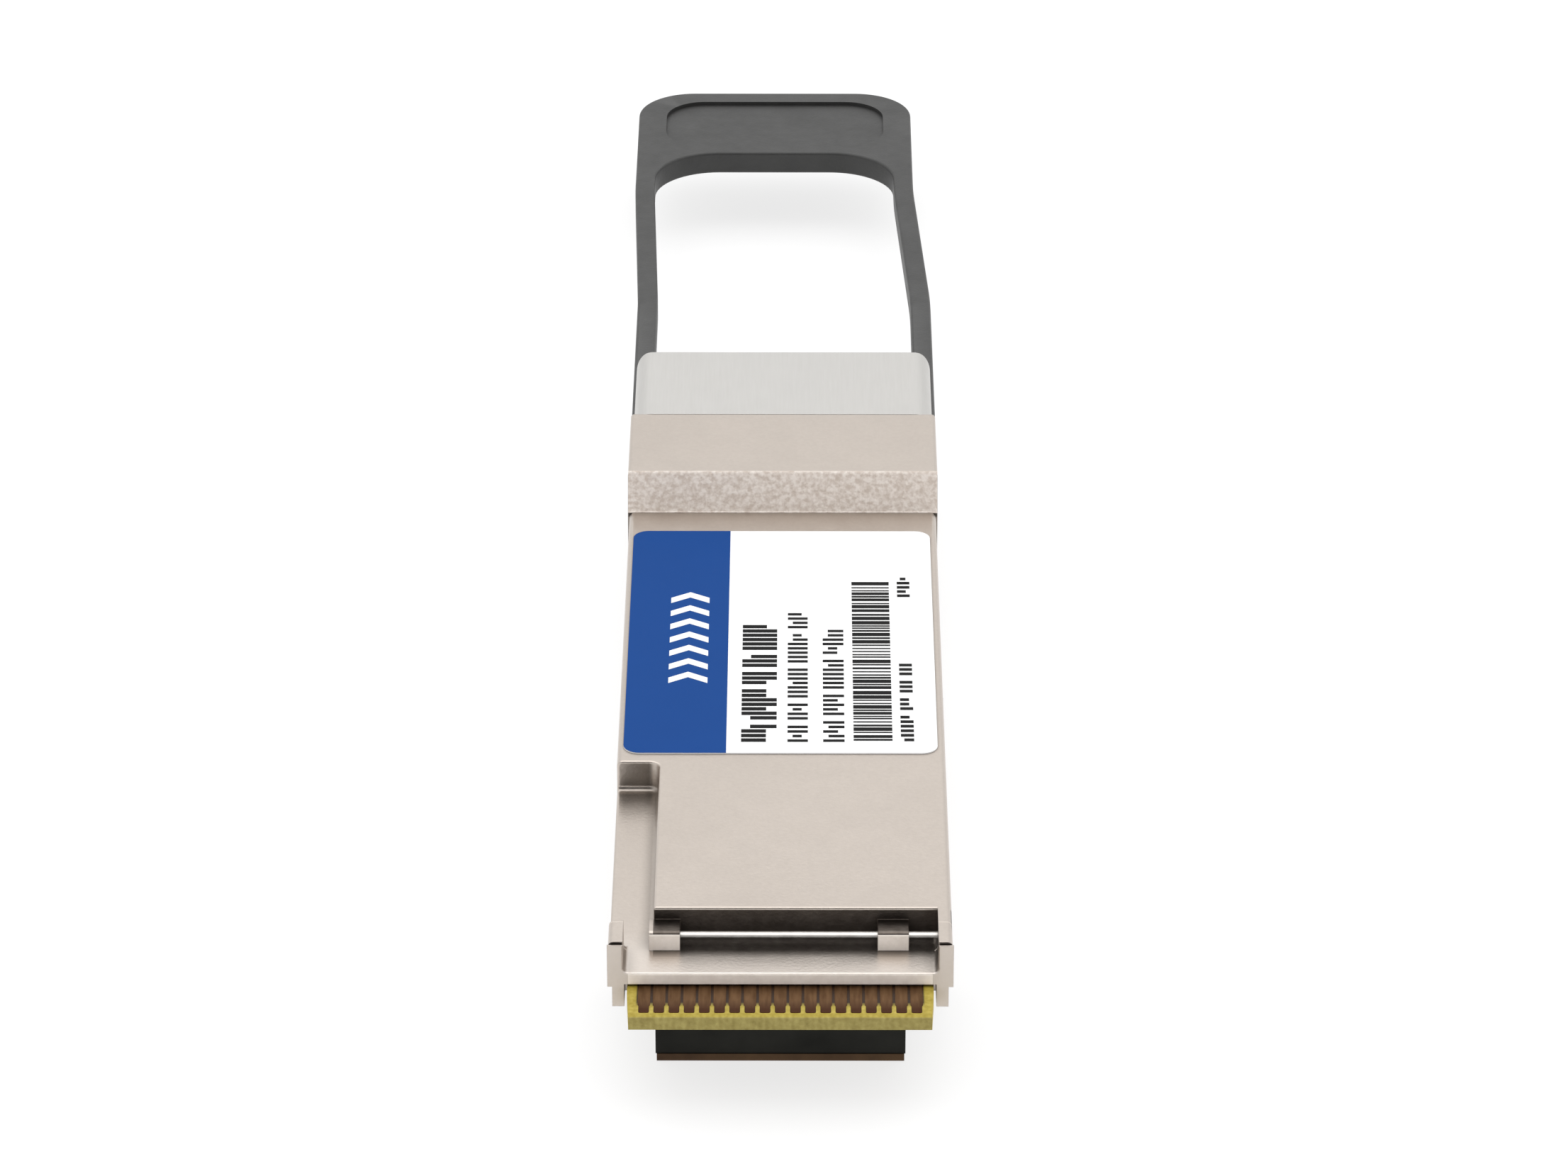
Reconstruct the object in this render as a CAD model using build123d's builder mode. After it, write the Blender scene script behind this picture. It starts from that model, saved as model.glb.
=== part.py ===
from build123d import *
import os

# Optical transceiver module: a pluggable parallel-fibre module with a pull tab, in millimetres.
# It lies on its heat-sink face, with its label side up.
# Origin: on the heat-sink face, on the middle plane, below the step that stops at the cage's mouth.
# +X is the width, +Y runs from the card edge towards the pull tab, +Z points out of the label face.

# ---- driving sizes: shells ----
body_width = 18.25
body_length = 51.0
body_height = 8.5
nose_side_proud = 0.1
nose_length = 17.95
nose_rise = 2.12
step_run = 1.2
nose_edge_radius = 0.22
fine_edge_radius = 0.12
parting_drop = 0.2
side_wall = 0.85
floor_thickness = 1.2
roof_thickness = 1.1
bulkhead_thickness = 3.4
bulkhead_start = 1.0
edge_radius = 0.3

# ---- driving sizes: front recess and key groove on the label side ----
recess_depth = 1.79
recess_length = 3.87
recess_web = 0.66
groove_width = 2.37
groove_length = 20.1
rail_width = 0.74
post_width = 0.78
post_length = 2.6
groove_corner_radius = 0.6
recess_base_radius = 0.3
stop_block_width = 1.65
stop_block_length = 1.47
stop_block_height = 1.08
stop_block_radius = 0.25
stop_block_inset = 1.55
stop_block_overhang = 0.25
flange_length = 0.16
flange_flare = 0.05
flange_line = 0.12
flange_drop = 0.12
foot_step_height = 1.2
foot_step_depth = 0.2
lower_shell_setback = 9.6

# ---- driving sizes: circuit board and what is on it ----
board_side_clearance = 0.15
board_rear_setback = 11.0
board_thickness = 1.0
card_protrusion = 3.0
card_taper = 0.12
card_taper_length = 2.4
board_gap = 0.15
card_lead_in = 0.26
card_lead_in_height = 0.15
pad_count = 19
pad_pitch = 0.8
pad_width = 0.66
pad_length = 3.6
pad_tip_width = 0.56
pad_tip_length = 0.8
pad_thickness = 0.04
pad_edge_gap = 0.04
controller_setback = 12.0
controller_size = 5.0
controller_height = 0.85
controller_corner = 0.4
crystal_width = 2.0
crystal_length = 2.5
crystal_height = 0.6
crystal_offset = 1.0
capacitor_length = 1.0
capacitor_width = 0.5
lane_count = 8
lane_pitch = 1.2
decoupling_offset = 8.0
decoupling_columns = 5
decoupling_rows = 2
decoupling_pitch_x = 1.5
decoupling_pitch_y = 1.6
inductor_length = 2.5
inductor_width = 2.0
inductor_height = 1.1
inductor_spacing = 4.0
inductor_offset = 16.0
inductor_chamfer = 0.15

# ---- driving sizes: black block under the card edge ----
support_side_step = 1.42
support_front = 2.27
support_tail_width = 10.0
support_tail_length = 3.5
strip_height = 0.42
strip_inset = 0.06

# ---- driving sizes: optics ----
ribbon_width = 3.1
ribbon_thickness = 0.3
ribbon_bend = 3.0
ribbon_socket = 1.0
ribbon_front_straight = 2.0
ribbon_rear_straight = 4.6
chip_size = 2.6
chip_height = 0.35
chip_spacing = 5.0
chip_corner = 0.2
chip_lens_gap = 0.8
optics_setback = 17.6
lens_width = 8.0
lens_length = 6.0
lens_height = 2.6
lens_pocket_width = 6.6
lens_pocket_length = 2.4
lens_pocket_depth = 0.5
mirror_notch_width = 1.8
mirror_notch_depth = 0.9
mirror_notch_flat = 0.2
array_length = 1.1
array_width = 0.4
array_height = 0.2
array_spacing = 3.0
ferrule_width = 6.4
ferrule_height = 2.5
ferrule_length = 9.0
ferrule_flange_width = 7.4
ferrule_flange_height = 3.2
ferrule_flange_length = 2.0
jumper_length = 4.0
pin_radius = 0.35
pin_spacing = 4.6
pin_stand_out = 2.2
pin_tip_radius = 0.2
clamp_thickness = 0.8
thermal_pad_thickness = 1.0
thermal_pad_side_inset = 0.1
thermal_pad_end_inset = 0.2
pedestal_width = 8.0
pedestal_length = 3.6

# ---- driving sizes: fibre port ----
port_width = 12.4
port_frame = 1.46
port_depth = 10.0
port_lip = 0.4
insert_wall = 0.6
hook_gap = 9.8
hook_thickness = 0.9
hook_height = 3.4
hook_length = 7.0
hook_catch = 0.5
hook_catch_length = 1.2
hook_root = 0.5
keyway_width = 3.0
keyway_depth = 0.4
keyway_setback = 1.0

# ---- driving sizes: latch slider, springs and pull tab ----
sheet = 0.3
slider_side_inset = 0.17
slider_length = 8.8
slider_bend_radius = 1.0
slider_corner_radius = 0.7
slider_skirt_bottom = 1.6
arm_height = 2.4
arm_reach = 18.0
arm_tip_length = 1.6
arm_tip_rise = 0.22
arm_overlap = 1.0
channel_run_out = 1.0
lug_y = 2.0
lug_height = 1.2
spring_radius = 0.55
spring_wire = 0.22
spring_turns = 8
spring_length = 6.4
tongue_length = 6.0
tongue_height = 0.9
tab_root_proud = 0.22
tab_end_proud = 0.07
tab_start_gap = 0.1
tab_length = 52.45
tab_thickness = 1.5
tab_top = 5.7
tab_arm_width = 1.3
tab_grip_length = 10.4
tab_root_radius = 0.2
tab_corner_radius = 3.8
tab_opening_radius = 4.3
tab_lean = 0.7
tab_lean_run = 17.5
tab_lean_gap = 1.8
tab_bend_radius = 60.0
tab_edge_radius = 0.18
tab_panel_width = 14.8
tab_panel_length = 7.6
tab_panel_depth = 0.25
tab_panel_radius = 2.6
tab_panel_margin = 1.6

# ---- driving sizes: screws, seals and label ----
screw_radius = 0.8
screw_head_radius = 1.45
screw_sink = 0.05
screw_length = 7.0
screw_end_gap = 0.2
screw_front_setback = 24.0
screw_rear_setback = 5.0
screw_drive_width = 0.9
screw_drive_depth = 0.4
boss_radius = 1.6
boss_wall_overlap = 0.2
seal_width = 0.4
seal_height = 0.3
seal_end_gap = 1.8
seal_start_gap = 0.6
label_side_margin = 0.37
label_groove_gap = 0.9
label_offset_x = -0.05
label_end_gap = 2.57
label_thickness = 0.08
label_radius = 0.9

# ---- clearances ----
running = 0.05
channel_gap = 0.1
thread_gap = 0.02
insert_gap = 0.03
passage_side_gap = 0.4
passage_end_gap = 0.3
boss_hole_gap = 0.05
ribbon_gap = 0.1

# how far a cutter passes the open face that it cuts through
overcut = 1.0

# ---- places worked out from the sizes ----
front_y = -body_length
card_y = front_y - card_protrusion
board_rear_y = -board_rear_setback
controller_y = front_y + controller_setback
nose_width = body_width + 2 * nose_side_proud
nose_height = body_height + nose_rise
inner_width = body_width - 2 * side_wall
board_width = inner_width - 2 * board_side_clearance
support_width = board_width - 2 * support_side_step
slider_width = nose_width - 2 * slider_side_inset
groove_floor = body_height - recess_depth
web_bottom = groove_floor - recess_web
board_top = web_bottom - board_gap
board_bottom = board_top - board_thickness
parting_height = board_bottom - parting_drop
arm_center_height = parting_height - spring_radius - spring_wire / 2 - running
cavity_top = body_height - roof_thickness
cavity_rear_y = bulkhead_start
plateau_front_y = front_y + recess_length
cavity_front_y = plateau_front_y + side_wall
plateau_x = -body_width / 2 + groove_width
rail_x = body_width / 2 - rail_width
post_x = -body_width / 2 + post_width
port_height = nose_height - 2 * port_frame
port_center_height = nose_height / 2
insert_width = port_width + 2 * insert_wall
insert_height = port_height + 2 * insert_wall
insert_front_y = bulkhead_start + bulkhead_thickness
port_floor_y = nose_length - port_depth
slider_start_y = nose_length - slider_length
channel_front_y = -arm_reach - channel_run_out
channel_x = slider_width / 2 - sheet - running
arm_x = slider_width / 2 - sheet / 2
lower_front_y = front_y + lower_shell_setback
optics_y = -optics_setback
ferrule_rear_y = insert_front_y - ferrule_flange_length
ferrule_end_y = ferrule_rear_y + ferrule_length
spring_x = channel_x - spring_radius - spring_wire / 2 - running
spring_start_y = lug_y + sheet
spring_pocket_end_y = spring_start_y + spring_length
tab_start_y = nose_length + tab_start_gap
tab_end_y = tab_start_y + tab_length
tab_center_height = tab_top - tab_thickness / 2
lens_bottom = board_bottom - lens_height
jumper_end_y = optics_y + lens_length / 2 + jumper_length
ribbon_start_y = jumper_end_y - ribbon_socket
ribbon_start_height = lens_bottom + ferrule_height / 2
chip_y = optics_y - lens_length / 2 - chip_size / 2 - chip_lens_gap
screw_x = inner_width / 2 - boss_radius + boss_wall_overlap
screw_front_y = front_y + screw_front_setback
screw_places = [(x, y) for x in (-screw_x, screw_x) for y in (screw_front_y, -screw_rear_setback)]
seal_x = body_width / 2 - side_wall / 2
seal_start_y = lower_front_y + seal_start_gap
seal_length = channel_front_y - seal_end_gap - seal_start_y
label_width = body_width - 2 * label_side_margin
label_length = body_length - groove_length - label_groove_gap - label_end_gap


def slab(x0, x1, y0, y1, z0, z1, mode=Mode.ADD):
    """A rectangular block between two corners, inside the current part."""
    with Locations(((x0 + x1) / 2, (y0 + y1) / 2, (z0 + z1) / 2)):
        Box(x1 - x0, y1 - y0, z1 - z0, mode=mode)


def both_sides(x0, x1, y0, y1, z0, z1, mode=Mode.ADD):
    """The same block on the right and, mirrored, on the left."""
    slab(x0, x1, y0, y1, z0, z1, mode)
    slab(-x1, -x0, y0, y1, z0, z1, mode)


def finish(piece, name):
    """Name a finished piece and write its file."""
    piece.part.label = name
    export_step(piece.part, f"parts/{name}.step")


os.makedirs("parts", exist_ok=True)

# =====================================================================================
# Shells
# =====================================================================================

# Recess at the card end and the key groove along the left side, as one cutter.
with BuildPart() as recess_cutter:
    with BuildSketch(Plane.XY.offset(groove_floor)) as recess_outline:
        with BuildLine():
            Polyline(
                (-body_width / 2 - overcut, front_y + post_length),
                (post_x, front_y + post_length),
                (post_x, front_y - overcut),
                (rail_x, front_y - overcut),
                (rail_x, plateau_front_y),
                (plateau_x, plateau_front_y),
                (plateau_x, front_y + groove_length),
                (-body_width / 2 - overcut, front_y + groove_length),
                close=True,
            )
        make_face()
        inner_corner = recess_outline.vertices().sort_by_distance((plateau_x, front_y + groove_length))[0]
        fillet(inner_corner, groove_corner_radius)
    extrude(amount=recess_depth + overcut)
    fillet(recess_cutter.edges().group_by(Axis.Z)[0], recess_base_radius)

with BuildPart() as label_side_shell:
    # body block with rounded long edges
    slab(-body_width / 2, body_width / 2, front_y, 0, parting_height, body_height)
    long_edges = label_side_shell.edges().filter_by(Axis.Y).group_by(Axis.Z)[-1]
    fillet(long_edges, edge_radius)
    # nose with the slanted step at its root
    with BuildSketch(Plane.YZ) as nose_profile:
        with BuildLine():
            Polyline(
                (0, parting_height),
                (0, body_height - edge_radius),
                (step_run, nose_height),
                (nose_length, nose_height),
                (nose_length, parting_height),
                close=True,
            )
        make_face()
    extrude(amount=nose_width / 2, both=True)
    nose_top_edges = label_side_shell.edges().group_by(Axis.Z)[-1].sort_by(Axis.Y)[:-1]
    fillet(nose_top_edges, nose_edge_radius)
    # flange at the front faces, slightly wider than the body, with a fine line behind it
    both_sides(rail_x, body_width / 2 + flange_flare, front_y, front_y + flange_length,
               parting_height + foot_step_height, body_height - flange_drop)
    # hollow inside: over the board, and lower below the recess and the key groove
    slab(plateau_x + side_wall, inner_width / 2, cavity_front_y, cavity_rear_y,
         parting_height, cavity_top, Mode.SUBTRACT)
    slab(-inner_width / 2, plateau_x + side_wall, front_y + groove_length + side_wall, cavity_rear_y,
         parting_height, cavity_top, Mode.SUBTRACT)
    slab(-inner_width / 2, inner_width / 2, front_y - overcut, cavity_rear_y,
         parting_height, web_bottom, Mode.SUBTRACT)
    # passage for the ferrule, and the pocket that holds the port insert
    slab(-ferrule_flange_width / 2 - passage_side_gap, ferrule_flange_width / 2 + passage_side_gap,
         cavity_rear_y, insert_front_y, parting_height,
         port_center_height + ferrule_flange_height / 2 + passage_end_gap, Mode.SUBTRACT)
    slab(-insert_width / 2, insert_width / 2, insert_front_y, nose_length,
         parting_height, port_center_height + insert_height / 2, Mode.SUBTRACT)
    # recess and key groove
    add(recess_cutter.part, mode=Mode.SUBTRACT)
    # two stop blocks against the recess wall, rounded at the top of their front faces
    for block_x in (plateau_x - stop_block_overhang, rail_x - stop_block_inset - stop_block_width):
        slab(block_x, block_x + stop_block_width, plateau_front_y - stop_block_length, plateau_front_y,
             groove_floor, groove_floor + stop_block_height)
        block_front = label_side_shell.edges().filter_by(Axis.X).sort_by_distance(
            (block_x + stop_block_width / 2, plateau_front_y - stop_block_length,
             groove_floor + stop_block_height))[0]
        fillet(block_front, stop_block_radius)
    # line across the posts behind the flange, the flange's lower top, and the stepped feet
    both_sides(rail_x - rail_width, body_width / 2 + overcut, front_y + flange_length,
               front_y + flange_length + flange_line, body_height - 2 * flange_line,
               body_height + overcut,
               Mode.SUBTRACT)
    both_sides(rail_x - rail_width, body_width / 2 + overcut, front_y, front_y + flange_length,
               body_height - flange_drop, body_height + overcut, Mode.SUBTRACT)
    both_sides(body_width / 2 - foot_step_depth, body_width / 2 + overcut, front_y, front_y + post_length,
               parting_height, parting_height + foot_step_height, Mode.SUBTRACT)
    # fine rounding along the edges that meet the label face and the front
    plateau_front = label_side_shell.edges().filter_by(Axis.X).sort_by_distance(
        (0, plateau_front_y, body_height))[0]
    plateau_side = label_side_shell.edges().filter_by(Axis.Y).sort_by_distance(
        (plateau_x, front_y + groove_length / 2, body_height))[0]
    web_front = label_side_shell.edges().filter_by(Axis.X).sort_by_distance((0, front_y, groove_floor))[0]
    fillet([plateau_front, plateau_side, web_front], fine_edge_radius)
    # seat for the latch slider: flush top and sides at the nose, channels along the body
    with BuildSketch(Plane.XZ.offset(-(slider_start_y - running))):
        with Locations((0, parting_height)):
            Rectangle(nose_width + 2 * overcut, nose_height + overcut, align=(Align.CENTER, Align.MIN))
        with Locations((0, nose_height - sheet - running)):
            RectangleRounded(2 * channel_x, 2 * nose_height, slider_bend_radius - sheet,
                             align=(Align.CENTER, Align.MAX), mode=Mode.SUBTRACT)
    extrude(amount=-(slider_length + running + overcut), mode=Mode.SUBTRACT)
    both_sides(channel_x, nose_width / 2 + overcut, channel_front_y, slider_start_y,
               parting_height, arm_center_height + arm_height / 2 + channel_gap, Mode.SUBTRACT)
    # screw bosses with their threads' holes
    with Locations([(x, y, parting_height) for x, y in screw_places]):
        Cylinder(boss_radius, cavity_top - parting_height,
                 align=(Align.CENTER, Align.CENTER, Align.MIN))
    with Locations([(x, y, parting_height) for x, y in screw_places]):
        Cylinder(screw_radius + thread_gap, screw_length + screw_sink + screw_end_gap - parting_height,
                 align=(Align.CENTER, Align.CENTER, Align.MIN), mode=Mode.SUBTRACT)
finish(label_side_shell, "label_side_shell")

with BuildPart() as heat_sink_side_shell:
    # body and nose, with rounded long edges at the heat-sink face
    for width, start_y, end_y in ((body_width, lower_front_y, 0), (nose_width, 0, nose_length)):
        with BuildSketch(Plane.XZ.offset(-start_y)):
            with Locations((0, parting_height / 2)):
                lower_section = Rectangle(width, parting_height)
            fillet(lower_section.vertices().group_by(Axis.Z)[0], edge_radius)
        extrude(amount=start_y - end_y)
    # hollow inside, the ferrule's passage and the insert's pocket
    slab(-inner_width / 2, inner_width / 2, lower_front_y - overcut, cavity_rear_y,
         floor_thickness, parting_height, Mode.SUBTRACT)
    slab(-ferrule_flange_width / 2 - passage_side_gap, ferrule_flange_width / 2 + passage_side_gap,
         cavity_rear_y, insert_front_y, port_center_height - ferrule_flange_height / 2 - passage_end_gap,
         parting_height, Mode.SUBTRACT)
    slab(-insert_width / 2, insert_width / 2, insert_front_y, nose_length,
         port_center_height - insert_height / 2, parting_height, Mode.SUBTRACT)
    # pedestal under the driver chips' thermal pad
    slab(-pedestal_width / 2, pedestal_width / 2, chip_y - pedestal_length / 2, chip_y + pedestal_length / 2,
         floor_thickness, board_bottom - chip_height - thermal_pad_thickness)
    # pillars under the screws' heads
    with Locations([(x, y, floor_thickness) for x, y in screw_places]):
        Cylinder(boss_radius, parting_height - floor_thickness,
                 align=(Align.CENTER, Align.CENTER, Align.MIN))
    # seat for the latch slider
    both_sides(channel_x, nose_width / 2 + overcut, slider_start_y - running, nose_length,
               slider_skirt_bottom - channel_gap, parting_height, Mode.SUBTRACT)
    both_sides(channel_x, nose_width / 2 + overcut, channel_front_y, slider_start_y,
               arm_center_height - arm_height / 2 - channel_gap, parting_height, Mode.SUBTRACT)
    # pockets of the two return springs, open to the channels and closed by the slider's arms
    both_sides(spring_x - spring_radius - spring_wire / 2 - running, nose_width / 2 + overcut,
               lug_y - channel_gap, spring_pocket_end_y,
               arm_center_height - spring_radius - spring_wire / 2 - running, parting_height, Mode.SUBTRACT)
    # grooves of the two conductive seals in the side walls' top edges
    both_sides(seal_x - seal_width / 2, seal_x + seal_width / 2, seal_start_y, seal_start_y + seal_length,
               parting_height - seal_height, parting_height, Mode.SUBTRACT)
    # countersunk screw holes, open at the heat-sink face
    with Locations([Location((x, y, 0), (0, 180, 0)) for x, y in screw_places]):
        CounterSinkHole(screw_radius + running, screw_head_radius + running, depth=parting_height,
                        counter_sink_angle=90)
finish(heat_sink_side_shell, "heat_sink_side_shell")

# =====================================================================================
# Circuit board and the pieces on it
# =====================================================================================

with BuildPart() as circuit_board:
    with BuildSketch(Plane.XY.offset(board_bottom)):
        with BuildLine():
            Polyline(
                (-board_width / 2 + card_taper, card_y),
                (board_width / 2 - card_taper, card_y),
                (board_width / 2, card_y + card_taper_length),
                (board_width / 2, board_rear_y),
                (-board_width / 2, board_rear_y),
                (-board_width / 2, card_y + card_taper_length),
                close=True,
            )
        make_face()
    extrude(amount=board_thickness)
    # lead-in along the card edge
    for height in (board_bottom, board_top):
        card_edge = circuit_board.edges().filter_by(Axis.X).sort_by_distance((0, card_y, height))[0]
        card_face = circuit_board.faces().sort_by(Axis.Y)[0]
        chamfer(card_edge, card_lead_in_height, card_lead_in, reference=card_face)
    # clearance holes for the screw bosses
    with Locations([(x, screw_front_y, board_bottom) for x in (-screw_x, screw_x)]):
        Cylinder(boss_radius + boss_hole_gap, board_thickness,
                 align=(Align.CENTER, Align.CENTER, Align.MIN), mode=Mode.SUBTRACT)
finish(circuit_board, "circuit_board")

pad_start_y = card_y + card_lead_in + pad_edge_gap
for name, pad_base in (
    ("contact_pads_label_side", board_top),
    ("contact_pads_heat_sink_side", board_bottom - pad_thickness),
):
    with BuildPart() as pads:
        with BuildSketch(Plane.XY.offset(pad_base)):
            with Locations((0, pad_start_y + pad_tip_length)):
                with GridLocations(pad_pitch, 1, pad_count, 1):
                    Rectangle(pad_width, pad_length - pad_tip_length, align=(Align.CENTER, Align.MIN))
                    Rectangle(pad_tip_width, pad_tip_length, align=(Align.CENTER, Align.MAX))
        extrude(amount=pad_thickness)
    finish(pads, name)


def chip(name, x, y, size_x, size_y, height, top_side, corner=0.0):
    """A small component soldered to one face of the board."""
    with BuildPart() as body:
        base = board_top if top_side else board_bottom - height
        slab(x - size_x / 2, x + size_x / 2, y - size_y / 2, y + size_y / 2, base, base + height)
        if corner > 0:
            chamfer(body.edges().filter_by(Axis.Z).sort_by_distance((x - size_x, y - size_y, base))[0], corner)
    finish(body, name)


chip("microcontroller_chip", 0, controller_y, controller_size, controller_size, controller_height, True,
     controller_corner)
chip("crystal_oscillator", controller_size / 2 + crystal_width, controller_y + crystal_offset, crystal_width,
     crystal_length, crystal_height, True)
chip("laser_driver_chip", -chip_spacing / 2, chip_y, chip_size, chip_size, chip_height, False,
     chip_corner)
chip("receiver_amplifier_chip", chip_spacing / 2, chip_y, chip_size, chip_size, chip_height, False,
     chip_corner)
chip("laser_array", -array_spacing / 2, optics_y, array_length, array_width, array_height, False)
chip("photodiode_array", array_spacing / 2, optics_y, array_length, array_width, array_height, False)

with BuildPart() as coupling_capacitors:
    with BuildSketch(Plane.XY.offset(board_top)):
        # one row across the data lanes, and a block of decoupling capacitors behind the controller
        with Locations((0, controller_y - controller_size)):
            with GridLocations(lane_pitch, 1, lane_count, 1):
                Rectangle(capacitor_width, capacitor_length)
        with Locations((0, controller_y + decoupling_offset)):
            with GridLocations(decoupling_pitch_x, decoupling_pitch_y, decoupling_columns, decoupling_rows):
                Rectangle(capacitor_length, capacitor_width)
    extrude(amount=capacitor_width)
finish(coupling_capacitors, "coupling_capacitors")

with BuildPart() as filter_inductors:
    with BuildSketch(Plane.XY.offset(board_top)):
        with Locations((0, controller_y + inductor_offset)):
            with GridLocations(inductor_spacing, 1, 2, 1):
                Rectangle(inductor_length, inductor_width)
    extrude(amount=inductor_height)
    chamfer(filter_inductors.edges().group_by(Axis.Z)[-1], inductor_chamfer)
finish(filter_inductors, "filter_inductors")

# Moulded block that carries the card end of the board, with its insulating strip below.
with BuildPart() as board_support_block:
    slab(-support_width / 2, support_width / 2, front_y + support_front, lower_front_y,
         strip_height, board_bottom - pad_thickness)
    slab(-support_tail_width / 2, support_tail_width / 2, lower_front_y, lower_front_y + support_tail_length,
         floor_thickness, board_bottom - pad_thickness)
finish(board_support_block, "board_support_block")

with BuildPart() as insulating_strip:
    slab(-support_width / 2 + strip_inset, support_width / 2 - strip_inset,
         front_y + support_front - strip_inset, lower_front_y, 0, strip_height)
finish(insulating_strip, "insulating_strip")

with BuildPart() as thermal_pad:
    pad_base = board_bottom - chip_height - thermal_pad_thickness
    slab(-pedestal_width / 2 + thermal_pad_side_inset, pedestal_width / 2 - thermal_pad_side_inset,
         chip_y - pedestal_length / 2 + thermal_pad_end_inset,
         chip_y + pedestal_length / 2 - thermal_pad_end_inset,
         pad_base, pad_base + thermal_pad_thickness)
finish(thermal_pad, "thermal_pad")

# =====================================================================================
# Optical path: lens block, jumper ferrule, ribbon, port ferrule and its pins
# =====================================================================================

with BuildPart() as lens_block:
    slab(-lens_width / 2, lens_width / 2, optics_y - lens_length / 2, optics_y + lens_length / 2,
         lens_bottom, board_bottom)
    # pocket over the laser and photodiode arrays
    slab(-lens_pocket_width / 2, lens_pocket_width / 2, optics_y - lens_pocket_length / 2,
         optics_y + lens_pocket_length / 2, board_bottom - lens_pocket_depth, board_bottom, Mode.SUBTRACT)
    # slanted mirror notch that turns the light towards the ferrule
    with BuildSketch(Plane.YZ):
        with BuildLine():
            Polyline(
                (optics_y - mirror_notch_width / 2, lens_bottom),
                (optics_y + mirror_notch_width / 2, lens_bottom),
                (optics_y + mirror_notch_flat / 2, lens_bottom + mirror_notch_depth),
                (optics_y - mirror_notch_flat / 2, lens_bottom + mirror_notch_depth),
                close=True,
            )
        make_face()
    extrude(amount=lens_pocket_width / 2, both=True, mode=Mode.SUBTRACT)
finish(lens_block, "lens_block")

with BuildPart() as jumper_ferrule:
    slab(-ferrule_width / 2, ferrule_width / 2, optics_y + lens_length / 2, jumper_end_y,
         lens_bottom, lens_bottom + ferrule_height)
    slab(-ribbon_width / 2, ribbon_width / 2, ribbon_start_y, jumper_end_y,
         ribbon_start_height - ribbon_thickness / 2, ribbon_start_height + ribbon_thickness / 2, Mode.SUBTRACT)
finish(jumper_ferrule, "jumper_ferrule")

with BuildPart() as fibre_ribbon:
    with BuildLine() as ribbon_path:
        FilletPolyline(
            (0, ribbon_start_y, ribbon_start_height),
            (0, jumper_end_y + ribbon_front_straight, ribbon_start_height),
            (0, ferrule_rear_y - ribbon_rear_straight, port_center_height),
            (0, ferrule_rear_y, port_center_height),
            radius=ribbon_bend,
        )
    with BuildSketch(Plane.XZ.offset(-ribbon_start_y)):
        with Locations((0, ribbon_start_height)):
            Rectangle(ribbon_width, ribbon_thickness)
    sweep(path=ribbon_path.line)
finish(fibre_ribbon, "fibre_ribbon")

with BuildPart() as port_ferrule:
    slab(-ferrule_width / 2, ferrule_width / 2, ferrule_rear_y, ferrule_end_y,
         port_center_height - ferrule_height / 2, port_center_height + ferrule_height / 2)
    slab(-ferrule_flange_width / 2, ferrule_flange_width / 2, ferrule_rear_y,
         insert_front_y, port_center_height - ferrule_flange_height / 2,
         port_center_height + ferrule_flange_height / 2)
    with BuildSketch(Plane.XZ.offset(-ferrule_rear_y)):
        with Locations((0, port_center_height)):
            with GridLocations(pin_spacing, 1, 2, 1):
                Circle(pin_radius + thread_gap)
    extrude(amount=-(ferrule_end_y - ferrule_rear_y), mode=Mode.SUBTRACT)
finish(port_ferrule, "port_ferrule")

for name, side in (("guide_pin_left", -1), ("guide_pin_right", 1)):
    with BuildPart() as guide_pin:
        with BuildSketch(Plane.XZ.offset(-(ferrule_rear_y - clamp_thickness))):
            with Locations((side * pin_spacing / 2, port_center_height)):
                Circle(pin_radius)
        extrude(amount=-(ferrule_end_y + pin_stand_out - ferrule_rear_y + clamp_thickness))
        fillet(guide_pin.edges().group_by(Axis.Y)[-1], pin_tip_radius)
    finish(guide_pin, name)

with BuildPart() as pin_clamp:
    slab(-ferrule_flange_width / 2, ferrule_flange_width / 2, ferrule_rear_y - clamp_thickness, ferrule_rear_y,
         port_center_height - ferrule_flange_height / 2, port_center_height + ferrule_flange_height / 2)
    slab(-ribbon_width / 2 - ribbon_gap, ribbon_width / 2 + ribbon_gap, ferrule_rear_y - clamp_thickness,
         ferrule_rear_y, port_center_height - ribbon_thickness / 2 - ribbon_gap,
         port_center_height + ribbon_thickness / 2 + ribbon_gap, Mode.SUBTRACT)
    with BuildSketch(Plane.XZ.offset(-(ferrule_rear_y - clamp_thickness))):
        with Locations((0, port_center_height)):
            with GridLocations(pin_spacing, 1, 2, 1):
                Circle(pin_radius + thread_gap)
    extrude(amount=-clamp_thickness, mode=Mode.SUBTRACT)
finish(pin_clamp, "pin_clamp")

# =====================================================================================
# Fibre port insert with its two latch hooks
# =====================================================================================

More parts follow.
